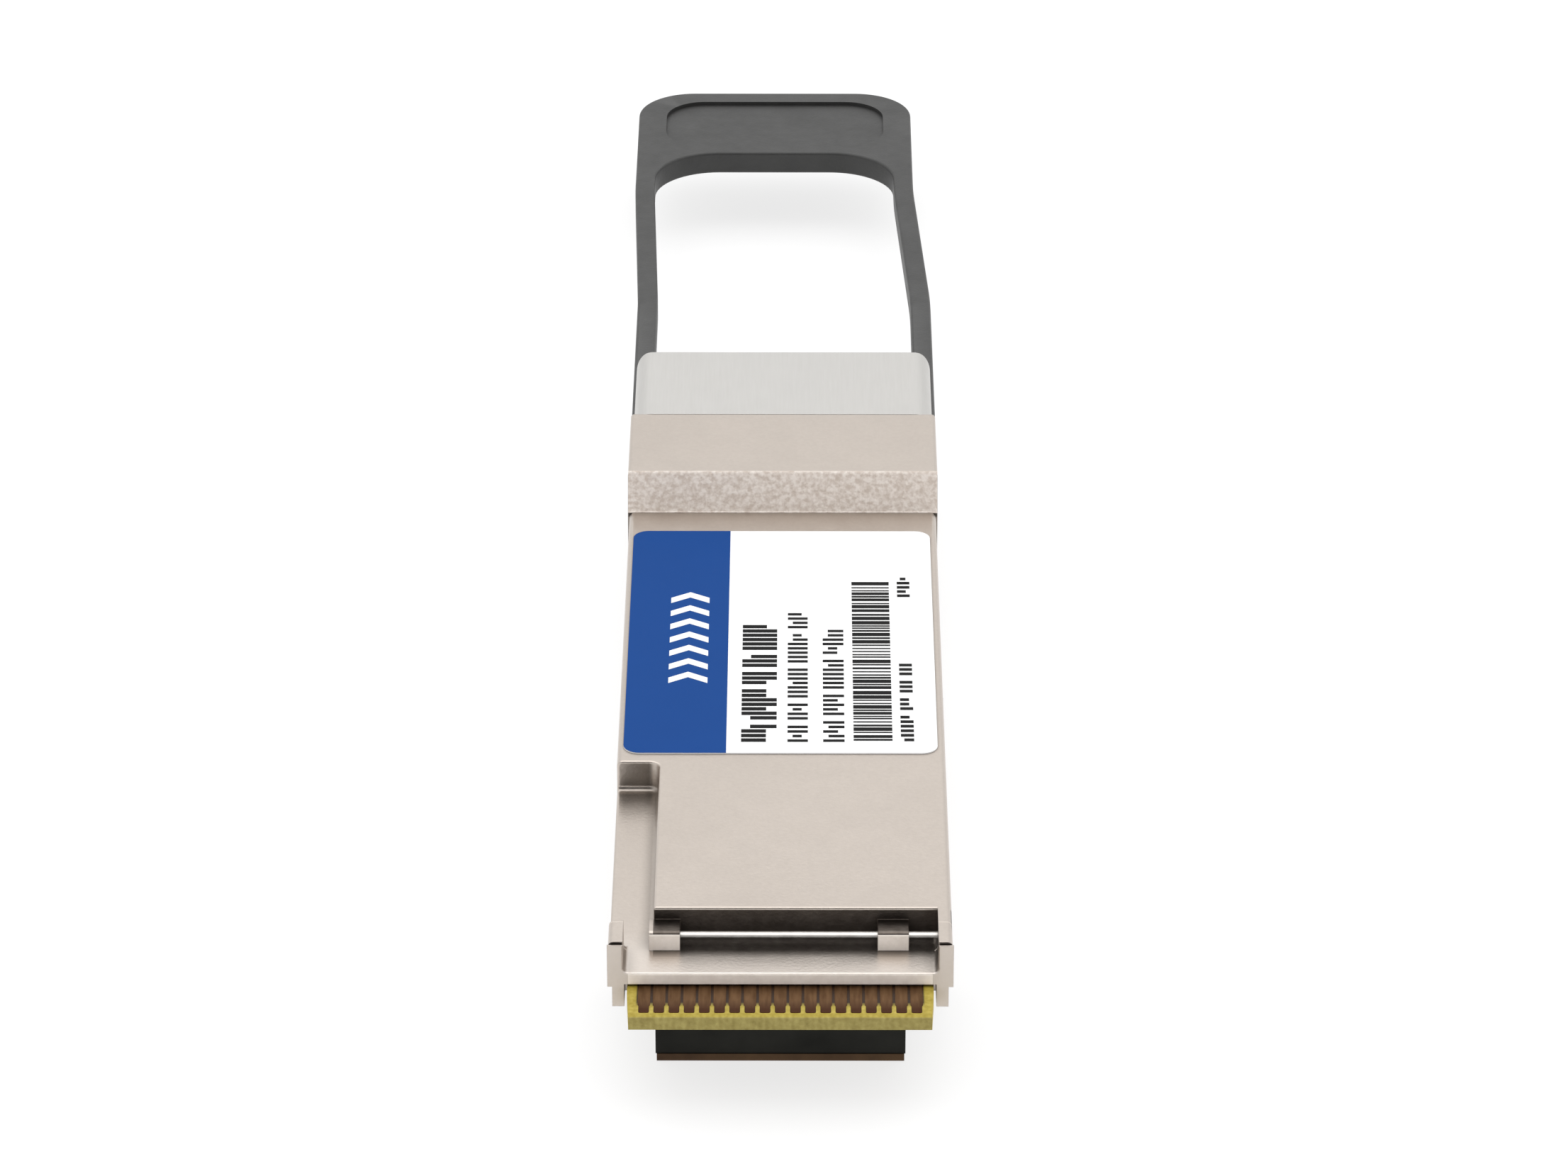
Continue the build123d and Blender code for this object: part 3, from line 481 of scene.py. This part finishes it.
def board_laminate():
    """Glass and resin laminate: yellow-green with its weave, with painted shade, dark brown, between the
    contacts.
    """
    material, shader = new_material("board_laminate")
    weaves = []
    for direction in ("X", "Y"):
        weave = node(material, "ShaderNodeTexWave", Scale=900.0, Distortion=1.5, Detail=1.0)
        weave.bands_direction = direction
        link(material, object_coordinates(material), weave.inputs["Vector"])
        weaves.append(weave.outputs["Fac"])
    cloth = times(material, *weaves)
    blotch = noise(material, 2600, 5, 0.65)
    mixed = math_node(material, "ADD", remap(material, cloth, 0.0, 0.10), remap(material, blotch, 0.1, 0.85))
    resin = ramp(material, mixed, (0.330, 0.245, 0.020), (0.540, 0.430, 0.085))
    # painted shade: the cut face at the front is darker than the top
    shaded_cut_face = ramp(material, mixed, (0.225, 0.177, 0.043), (0.400, 0.335, 0.108))
    place = axes(material)
    front_y = board_low.y + BOARD_FRONT_SLACK
    on_front = remap(material, place["Y"], 1.0, 0.0, front_y, front_y + BOARD_FRONT_BLEND)
    color = mix(material, on_front, resin, shaded_cut_face)
    # painted shade between the contacts, from behind their tips
    behind_tips = remap(material, place["Y"], 0.0, 1.0,
                        PAD_SHADE_Y - PAD_SHADE_BLEND_BEFORE, PAD_SHADE_Y + PAD_SHADE_BLEND_AFTER)
    across = math_node(material, "ABSOLUTE", place["X"])
    among_pads = remap(material, across, 1.0, 0.0, PAD_SHADE_HALF_WIDTH - PAD_SHADE_SIDE_BLEND, PAD_SHADE_HALF_WIDTH)
    pad_shade = times(material, behind_tips, among_pads)
    link(material, mix(material, pad_shade, color, (0.030, 0.013, 0.005)), shader.inputs["Base Color"])
    shader.inputs["Roughness"].default_value = 0.5
    shader.inputs["Specular IOR Level"].default_value = 0.25
    shader.inputs["Subsurface Weight"].default_value = 0.12
    shader.inputs["Subsurface Radius"].default_value = (0.0005, 0.0004, 0.0002)
    bump(material, shader, cloth, 0.10, 0.00003)
    return material


TIP_DARK = 0.3 * MM
TIP_CLEAR = 1.3 * MM


def contact_metal():
    """Plated contact, brown in this light, with wiped streaks along its length and painted shade darkening
    its tip.
    """
    material, shader = new_material("contact_metal")
    streaks = streaked_noise(material, (5000, 700, 5000), 4.0)
    plate = ramp(material, streaks, (0.085, 0.038, 0.012), (0.180, 0.098, 0.045), 0.25, 0.75)
    place = axes(material)
    # painted shade: the contact darkens towards its tip
    tip = remap(material, place["Y"], 1.0, 0.0, pads_low.y + TIP_DARK, pads_low.y + TIP_CLEAR)
    link(material, mix(material, tip, plate, (0.055, 0.020, 0.008)), shader.inputs["Base Color"])
    shader.inputs["Metallic"].default_value = 0.7
    link(material, remap(material, streaks, 0.40, 0.60), shader.inputs["Roughness"])
    shader.inputs["Specular IOR Level"].default_value = 0.15
    bump(material, shader, streaks, 0.12, 0.00003)
    return material


def label_film(name, color, rough=0.6):
    """Printed label film in one colour, with the slight unevenness of paper under varnish."""
    material, shader = new_material(name)
    dark = tuple(channel * 0.97 for channel in color)
    link(material, ramp(material, noise(material, 300, 4), dark, color), shader.inputs["Base Color"])
    shader.inputs["Roughness"].default_value = rough
    shader.inputs["Specular IOR Level"].default_value = 0.1
    bump(material, shader, noise(material, 2500, 3), 0.04, 0.00002)
    return material


nickel = cast_nickel()
# painted highlight: a brighter copy of the nickel for the ledge at the foot of the recess wall
bright = highlight_nickel()
rough_cast = rough_casting()
steel = slider_steel()
grey_plastic = tab_plastic()
laminate = board_laminate()
contacts = contact_metal()
black_plastic = plain_plastic("black_moulding", (0.011, 0.011, 0.009), (0.019, 0.019, 0.016), 0.6, gloss=0.1)
shaded_strip_brown = plain_plastic("amber_film", (0.045, 0.022, 0.009), (0.095, 0.052, 0.022), 0.45, gloss=0.15)
package = plain_plastic("chip_package", (0.018, 0.018, 0.020), (0.032, 0.032, 0.034), 0.6)
die = plain_plastic("laser_die", (0.045, 0.045, 0.055), (0.070, 0.070, 0.080), 0.2)
capacitor = plain_plastic("capacitor_ceramic", (0.30, 0.20, 0.12), (0.40, 0.28, 0.17), 0.5)
ferrite = plain_plastic("ferrite", (0.05, 0.05, 0.055), (0.08, 0.08, 0.085), 0.7)
gap_pad = plain_plastic("gap_pad", (0.30, 0.45, 0.55), (0.38, 0.54, 0.64), 0.7)
lens_resin = plain_plastic("optical_resin", (0.50, 0.38, 0.15), (0.60, 0.46, 0.20), 0.15)
ferrule_resin = plain_plastic("ferrule_resin", (0.025, 0.025, 0.026), (0.045, 0.045, 0.047), 0.45)
ribbon_coat = plain_plastic("ribbon_coating", (0.08, 0.40, 0.46), (0.12, 0.50, 0.55), 0.3)
seal_rubber = plain_plastic("seal_rubber", (0.10, 0.10, 0.10), (0.15, 0.15, 0.15), 0.75)
pin_steel = plain_metal("polished_pin", (0.60, 0.60, 0.61), (0.68, 0.68, 0.69), 0.12)
can_steel = plain_metal("steel_can", (0.56, 0.56, 0.54), (0.64, 0.64, 0.62), 0.3)
spring_steel = plain_metal("spring_steel", (0.46, 0.46, 0.46), (0.54, 0.54, 0.54), 0.3)
screw_steel = plain_metal("screw_steel", (0.38, 0.38, 0.39), (0.48, 0.48, 0.49), 0.35)

use(nickel, "label_side_shell", "heat_sink_side_shell")
use(steel, "latch_slider")
use(grey_plastic, "pull_tab")
use(laminate, "circuit_board")
use(contacts, "contact_pads_label_side", "contact_pads_heat_sink_side")
# painted shade: the board support block is black where the cavity under the card lies in shadow
use(black_plastic, "board_support_block", "port_insert", "pin_clamp")
# painted shade: the insulating strip is dark brown where the shell's front lip lies in shadow
use(shaded_strip_brown, "insulating_strip")
use(package, "microcontroller_chip", "laser_driver_chip", "receiver_amplifier_chip")
use(die, "laser_array", "photodiode_array")
use(capacitor, "coupling_capacitors")
use(ferrite, "filter_inductors")
use(gap_pad, "thermal_pad")
use(lens_resin, "lens_block")
use(ferrule_resin, "jumper_ferrule", "port_ferrule")
use(ribbon_coat, "fibre_ribbon")
use(seal_rubber, "emi_seal_left", "emi_seal_right")
use(pin_steel, "guide_pin_left", "guide_pin_right")
use(can_steel, "crystal_oscillator")
use(spring_steel, "return_spring_left", "return_spring_right")
use(screw_steel, "closing_screws")


# =====================================================================================
# Label: a plain film with a blue field and generic marks, no lettering
# =====================================================================================

LABEL_RADIUS = 0.9 * MM
INK = 0.012 * MM
BLUE_SHARE = 0.327

# marks on the label, as shares of its width (left, right) and length (start, end, the rest)
STRIPES_LEFT, STRIPES_RIGHT = 0.733, 0.857
STRIPES_START, STRIPES_END = 0.052, 0.755
TICK_PITCH = 0.0195
TICK_GROUP_GAP = 0.9 * TICK_PITCH
CHEVRON_COUNT = 7
CHEVRON_LEFT, CHEVRON_RIGHT = 0.135, 0.262
CHEVRON_START = 0.30
CHEVRON_PITCH = 0.060
CHEVRON_THICKNESS = 0.024
CHEVRON_RISE = 0.026

white_film = label_film("label_white", (0.95, 0.95, 0.95))
blue_ink = label_film("label_blue", (0.002, 0.056, 0.255))
black_ink = label_film("label_black", (0.006, 0.006, 0.006))
white_ink = label_film("label_white_ink", (0.93, 0.93, 0.94))


def make_label():
    """The film and its blue field; gives the film's corner, width, length and top."""
    x0, y0 = label_low.x, label_low.y
    x1, y1 = label_high.x, label_high.y
    top = label_high.z
    width, length = x1 - x0, y1 - y0
    work = bmesh.new()
    add_plate(work, rounded_outline(x0, x1, y0, y1, [LABEL_RADIUS] * 4), label_low.z, top - INK)
    film = piece_from("label_film", work, white_film, HOUSING)
    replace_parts(film, "product_label")

    # blue field along the left side
    work = bmesh.new()
    edge = x0 + BLUE_SHARE * width
    add_plate(work, rounded_outline(x0, edge, y0, y1, (LABEL_RADIUS, 0, 0, LABEL_RADIUS)), top - INK, top)
    piece_from("label_blue_field", work, blue_ink, HOUSING)
    return x0, y0, width, length, top


label_x, label_y, label_w, label_l, label_top = make_label()


def print_marks(name, rectangles, material, lift):
    """Flat marks on the label; each rectangle is x0, x1, y0, y1 as shares of the label's sides."""
    work = bmesh.new()
    for u0, u1, v0, v1 in rectangles:
        low = (label_x + u0 * label_w, label_y + v0 * label_l, lift - INK)
        high = (label_x + u1 * label_w, label_y + v1 * label_l, lift)
        add_block(work, low, high)
    piece_from(name, work, material, HOUSING)


def stripe_code():
    """A generic band of stripes of uneven width; it encodes nothing."""
    draw = random.Random(7)
    stripes = []
    position = STRIPES_START
    while position < STRIPES_END:
        bar = draw.choice((0.005, 0.006, 0.008, 0.012, 0.015))
        stripes.append((STRIPES_LEFT, STRIPES_RIGHT, position, position + bar))
        position += bar + draw.choice((0.004, 0.005, 0.009))
    return stripes


def tick_row(seed, left, right, start, end, weight):
    """Plain ticks of uneven length in groups, where a label would carry a line of print."""
    draw = random.Random(seed)
    ticks = []
    position = start
    group = draw.randint(3, 7)
    height = right - left
    while position + TICK_PITCH < end:
        low = left + height * draw.choice((0.0, 0.0, 0.0, 0.0, 0.25))
        high = right - height * draw.choice((0.0, 0.0, 0.0, 0.30))
        ticks.append((low, high, position, position + TICK_PITCH * weight))
        position += TICK_PITCH
        group -= 1
        if group == 0:
            group = draw.randint(3, 7)
            position += TICK_GROUP_GAP
    return ticks


# seed, left, right, start, end, and a tick's share of the pitch
PRINT_LINES = (
    (21, 0.374, 0.487, 0.047, 0.590, 0.74),
    (22, 0.522, 0.587, 0.047, 0.625, 0.54),
    (23, 0.636, 0.704, 0.047, 0.585, 0.54),
    (24, 0.884, 0.926, 0.050, 0.405, 0.60),
    (25, 0.884, 0.926, 0.690, 0.790, 0.60),
)


def make_chevrons():
    """A generic mark on the blue field: a column of white chevrons."""
    work = bmesh.new()
    left, right = CHEVRON_LEFT, CHEVRON_RIGHT
    middle = (left + right) / 2
    for index in range(CHEVRON_COUNT):
        base = CHEVRON_START + index * CHEVRON_PITCH
        top = base + CHEVRON_THICKNESS
        shape = ((left, base), (middle, base + CHEVRON_RISE), (right, base),
                 (right, top), (middle, top + CHEVRON_RISE), (left, top))
        outline = [(label_x + u * label_w, label_y + v * label_l) for u, v in shape]
        add_plate(work, outline, label_top, label_top + INK)
    piece_from("label_emblem", work, white_ink, HOUSING)


print_marks("label_stripes", stripe_code(), black_ink, label_top)
ticks = [tick for line in PRINT_LINES for tick in tick_row(*line)]
print_marks("label_ticks", ticks, black_ink, label_top)
make_chevrons()


# =====================================================================================
# Contacts, fibre ends and springs
# =====================================================================================

PAD_COUNT = 19
PAD_PITCH = 0.8 * MM
PAD_WIDTH = 0.66 * MM
PAD_TIP_WIDTH = 0.56 * MM
PAD_TIP_LENGTH = 0.8 * MM
PAD_EDGE = 0.035 * MM
PAD_EDGE_SHARE = 0.45
PAD_CORNER = 0.10 * MM
PAD_CORNER_CUT = 0.3 * PAD_CORNER
PAD_SHOULDER = 0.12 * MM


def pad_outline(x, inset):
    """A contact seen from above: a full-width body and a narrower tip with rounded corners."""
    body = PAD_WIDTH / 2 - inset
    tip = PAD_TIP_WIDTH / 2 - inset
    y0 = pads_low.y + inset
    y1 = pads_high.y - inset
    neck = pads_low.y + PAD_TIP_LENGTH
    return [
        (x - tip, y0 + PAD_CORNER),
        (x - tip + PAD_CORNER_CUT, y0 + PAD_CORNER_CUT),
        (x - tip + PAD_CORNER, y0),
        (x + tip - PAD_CORNER, y0),
        (x + tip - PAD_CORNER_CUT, y0 + PAD_CORNER_CUT),
        (x + tip, y0 + PAD_CORNER),
        (x + tip, neck - PAD_SHOULDER),
        (x + body, neck),
        (x + body, y1),
        (x - body, y1),
        (x - body, neck),
        (x - tip, neck - PAD_SHOULDER),
    ]


def make_contacts(name, board_side, outer_side):
    """The contacts of one face, each with its outer edge rounded off; sides are heights."""
    work = bmesh.new()
    edge_height = outer_side + (board_side - outer_side) * PAD_EDGE_SHARE
    levels = ((0.0, board_side), (0.0, edge_height), (PAD_EDGE, outer_side))
    for index in range(PAD_COUNT):
        x = (index - (PAD_COUNT - 1) / 2) * PAD_PITCH
        add_loft(work, [[(*point, height) for point in pad_outline(x, inset)] for inset, height in levels])
    return piece_from(name, work, contacts, HOUSING, 50)


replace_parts(make_contacts("contacts_upper", pads_low.z, pads_high.z), "contact_pads_label_side")
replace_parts(make_contacts("contacts_lower", under_pads_high.z, under_pads_low.z),
            "contact_pads_heat_sink_side")


FIBRE_COUNT = 12
FIBRE_PITCH = 0.25 * MM
FIBRE_RADIUS = 0.0625 * MM
FIBRE_PROUD = 0.01 * MM
FIBRE_ROOT = 0.05 * MM
FIBRE_SIDES = 16


def make_fibre_ends():
    """Twelve polished fibre ends in a row on the ferrule's face, each standing out a little."""
    work = bmesh.new()
    height = (ferrule_low.z + ferrule_high.z) / 2
    levels = (
        (FIBRE_RADIUS, -FIBRE_ROOT),
        (FIBRE_RADIUS, FIBRE_PROUD * 0.4),
        (FIBRE_RADIUS * 0.7, FIBRE_PROUD),
    )
    angles = [math.tau * side / FIBRE_SIDES for side in range(FIBRE_SIDES)]
    for index in range(FIBRE_COUNT):
        x = (index - (FIBRE_COUNT - 1) / 2) * FIBRE_PITCH
        rings = []
        for radius, out in levels:
            y = ferrule_high.y + out
            rings.append([(x + radius * math.cos(angle), y, height + radius * math.sin(angle))
                          for angle in angles])
        add_loft(work, rings)
    piece_from("fibre_ends", work, lens_resin, HOUSING, 40)


make_fibre_ends()

SPRING_WIRE = 0.22 * MM
SPRING_TURNS = 8
CLOSED_TURNS = 1.0
SPRING_STEPS_A_TURN = 28
SPRING_SIDES = 10


def make_spring(name, cad_name):
    """A wound spring with a closed turn at each end."""
    low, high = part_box(cad_name)
    centre_x = (low.x + high.x) / 2
    centre_z = (low.z + high.z) / 2
    coil = (high.x - low.x - SPRING_WIRE) / 2
    start = low.y + SPRING_WIRE / 2
    reach = high.y - low.y - SPRING_WIRE
    open_turns = SPRING_TURNS - 2 * CLOSED_TURNS
    open_reach = reach - 2 * CLOSED_TURNS * SPRING_WIRE
    forward = Vector((0, 1, 0))
    rings = []
    for step in range(SPRING_TURNS * SPRING_STEPS_A_TURN + 1):
        turn = step / SPRING_STEPS_A_TURN
        share = min(max((turn - CLOSED_TURNS) / open_turns, 0.0), 1.0)
        ends = min(turn, CLOSED_TURNS) + max(turn - SPRING_TURNS + CLOSED_TURNS, 0.0)
        y = start + ends * SPRING_WIRE + share * open_reach
        angle = math.tau * turn
        outward = Vector((math.cos(angle), 0, math.sin(angle)))
        middle = Vector((centre_x, y, centre_z)) + outward * coil
        ring = []
        for side in range(SPRING_SIDES):
            around = math.tau * side / SPRING_SIDES
            towards = outward * math.cos(around) + forward * math.sin(around)
            ring.append(middle + towards * SPRING_WIRE / 2)
        rings.append(ring)
    work = bmesh.new()
    add_loft(work, rings)
    made = piece_from(name, work, spring_steel, None, 60)
    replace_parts(made, cad_name)
    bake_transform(made)


make_spring("spring_left", "return_spring_left")
make_spring("spring_right", "return_spring_right")


# =====================================================================================
# Rough face of the step
# =====================================================================================

STEP_TOE = 0.13 * MM
STEP_COLUMNS = 420
STEP_ROWS = 60
STEP_SKIN = 0.03 * MM
STEP_RELIEF = 0.04 * MM
STEP_SIDE_GAP = 0.012 * MM
STEP_FIRST_SHARE = 0.004
STEP_SHARE = 0.99


def step_path(share):
    """A point of the step's profile and its outward normal: the toe, the slope and its top edge."""
    rise = shell_high.z - body_top
    start = STEP_RUN * STEP_FOOT_DROP / (rise + STEP_FOOT_DROP)
    slope = Vector((0, STEP_RUN - start, rise))
    up = slope.normalized()
    out = Vector((0, -up.z, up.y))
    turn = math.atan2(up.z, up.y)
    straight = slope.length - NOSE_EDGE_RADIUS * math.tan(turn / 2)
    total = STEP_TOE + straight + NOSE_EDGE_RADIUS * turn
    along = share * total - STEP_TOE
    foot = Vector((0, start, body_top))
    if along < 0:
        return foot + Vector((0, along, 0)), Vector((0, 0, 1))
    if along <= straight:
        return foot + up * along, out
    angle = (along - straight) / NOSE_EDGE_RADIUS
    centre = foot + up * straight - out * NOSE_EDGE_RADIUS
    normal = out * math.cos(angle) + up * math.sin(angle)
    return centre + normal * NOSE_EDGE_RADIUS, normal


def make_step_face():
    """A thin skin on the slanted step, its surface broken up like a raw casting."""
    draw = random.Random(3)
    heights = [[draw.random() for _ in range(STEP_COLUMNS + 1)] for _ in range(STEP_ROWS + 1)]
    half = shell_high.x - STEP_SIDE_GAP
    work = bmesh.new()
    outer = []
    inner = []
    for row in range(STEP_ROWS + 1):
        base, normal = step_path(STEP_FIRST_SHARE + STEP_SHARE * row / STEP_ROWS)
        outer.append([])
        inner.append([])
        for column in range(STEP_COLUMNS + 1):
            across = Vector((-half + 2 * half * column / STEP_COLUMNS, 0, 0))
            on_rim = row in (0, STEP_ROWS) or column in (0, STEP_COLUMNS)
            relief = 0.0 if on_rim else STEP_RELIEF * heights[row][column]
            outer[-1].append(work.verts.new(base + across + normal * (STEP_SKIN * 0.4 + relief)))
            inner[-1].append(work.verts.new(base + across - normal * STEP_SKIN))
    for grid in (outer, inner):
        for row, after in zip(grid, grid[1:]):
            for column in range(STEP_COLUMNS):
                work.faces.new((row[column], row[column + 1], after[column + 1], after[column]))
    for row in range(STEP_ROWS):
        for column in (0, STEP_COLUMNS):
            work.faces.new((outer[row][column], outer[row + 1][column],
                            inner[row + 1][column], inner[row][column]))
    for column in range(STEP_COLUMNS):
        for row in (0, STEP_ROWS):
            work.faces.new((outer[row][column], inner[row][column],
                            inner[row][column + 1], outer[row][column + 1]))
    skin_points = [vertex for line in outer for vertex in line]
    for _ in range(2):
        bmesh.ops.smooth_vert(work, verts=skin_points, factor=0.35,
                              use_axis_x=True, use_axis_y=True, use_axis_z=True)
    piece_from("step_face", work, rough_cast, HOUSING, 80)


make_step_face()


# =====================================================================================
# Ledge at the foot of the recess wall
# =====================================================================================

LEDGE_HEIGHT = 0.34 * MM
LEDGE_DEPTH = 0.28 * MM
LEDGE_FACE = 0.13 * MM
LEDGE_CROWN = 0.02 * MM
LEDGE_CROWN_LEAN = 0.6
LEDGE_STEPS = 8
LEDGE_OVERLAP = 0.01 * MM
LEDGE_UNDERCUT = 0.02 * MM


def make_ledge():
    """A bright slanted ledge along the foot of the recess wall, broken by the two stop blocks; its brighter
    copy of the nickel is a painted highlight.
    """
    back_y = recess_wall_y + LEDGE_OVERLAP
    foot_z = recess_floor_z - LEDGE_OVERLAP
    profile = []
    for step in range(LEDGE_STEPS + 1):
        share = step / LEDGE_STEPS
        crown = LEDGE_CROWN * math.sin(math.pi * share)
        fall = (LEDGE_HEIGHT - LEDGE_FACE) * share
        profile.append((back_y - LEDGE_DEPTH * share - crown * LEDGE_CROWN_LEAN,
                        recess_floor_z + LEDGE_HEIGHT - fall + crown))
    profile.append((recess_wall_y - LEDGE_DEPTH + LEDGE_UNDERCUT, foot_z))
    profile.append((back_y, foot_z))
    work = bmesh.new()
    for x0, x1 in ((left_block_x + BLOCK_WIDTH, right_block_x), (right_block_x + BLOCK_WIDTH, rail_x)):
        add_loft(work, [[(x, y, z) for y, z in profile] for x in (x0, x1)])
    piece_from("recess_ledge", work, bright, HOUSING, 30)


make_ledge()


# =====================================================================================
# Floor, light and camera
# =====================================================================================

FLOOR_GLOW = 0.75
FLOOR_TONE = 0.29
FLOOR_SIZE = 8.0
FLOOR_GAP = 0.02 * MM


def make_floor():
    """A plain white sweep that glows a little, so that shadows on it stay faint."""
    material, shader = new_material("floor_pale")
    link(material, ramp(material, noise(material, 8, 2), (FLOOR_TONE,) * 3, (FLOOR_TONE * 1.02,) * 3),
         shader.inputs["Base Color"])
    shader.inputs["Roughness"].default_value = 0.9
    shader.inputs["Specular IOR Level"].default_value = 0.0
    shader.inputs["Emission Color"].default_value = (1.0, 1.0, 1.0, 1.0)
    shader.inputs["Emission Strength"].default_value = FLOOR_GLOW
    bpy.ops.mesh.primitive_plane_add(size=FLOOR_SIZE, location=(0, 0, -FLOOR_GAP))
    floor = bpy.context.object
    floor.name = "floor"
    floor.data.materials.append(material)


SKY_STRENGTH = 1.0
DARK_SIDE = Vector((0.0, -0.89, 0.455))
DARK_TONE = 0.03
DARK_EDGE_ANGLE = 42
DARK_CORE_ANGLE = 22


def make_sky():
    """Even studio light, with a dark patch round the direction that the viewer looks from."""
    world = bpy.data.worlds.new("studio")
    bpy.context.scene.world = world
    world.use_nodes = True
    background = world.node_tree.nodes["Background"]
    towards = node(world, "ShaderNodeVectorMath", operation="DOT_PRODUCT")
    towards.inputs[1].default_value = DARK_SIDE
    link(world, node(world, "ShaderNodeTexCoord").outputs["Generated"], towards.inputs[0])
    patch = node(world, "ShaderNodeMapRange", interpolation_type="SMOOTHSTEP",
                 From_Min=math.cos(math.radians(DARK_EDGE_ANGLE)),
                 From_Max=math.cos(math.radians(DARK_CORE_ANGLE)))
    link(world, towards.outputs["Value"], patch.inputs["Value"])
    tone = mix(world, patch.outputs["Result"], (1.0, 1.0, 1.0), (DARK_TONE,) * 3)
    link(world, tone, background.inputs["Color"])
    background.inputs["Strength"].default_value = SKY_STRENGTH


def make_lamp(name, location, size, power):
    """A rectangular lamp that points at the origin and isn't seen itself; sizes are in metres."""
    data = bpy.data.lights.new(name, "AREA")
    data.shape = "RECTANGLE"
    data.size, data.size_y = size
    data.energy = power
    lamp = bpy.data.objects.new(name, data)
    lamp.location = location
    lamp.rotation_euler = (-Vector(location)).to_track_quat("-Z", "Y").to_euler()
    lamp.visible_camera = False
    bpy.context.scene.collection.objects.link(lamp)


def make_camera():
    data = bpy.data.cameras.new("camera")
    data.lens = CAMERA_LENS
    data.sensor_width = 36.0
    data.clip_start = 0.01
    data.clip_end = 20.0
    camera = bpy.data.objects.new("camera", data)
    rise = math.radians(CAMERA_ELEVATION)
    turn = math.radians(CAMERA_AZIMUTH)
    away = Vector((math.sin(turn) * math.cos(rise), -math.cos(turn) * math.cos(rise), math.sin(rise)))
    camera.location = CAMERA_TARGET + away * CAMERA_DISTANCE
    camera.rotation_euler = (math.radians(90 - CAMERA_ELEVATION), 0, turn)
    bpy.context.scene.collection.objects.link(camera)
    bpy.context.scene.camera = camera


make_floor()
make_sky()
make_lamp("top_softbox", location=(0, 0.25, 1.0), size=(1.4, 1.4), power=6.0)
make_lamp("front_fill", location=(0, -0.8, 0.06), size=(0.8, 0.1), power=0.8)
make_camera()
bpy.context.scene.view_settings.view_transform = "Standard"
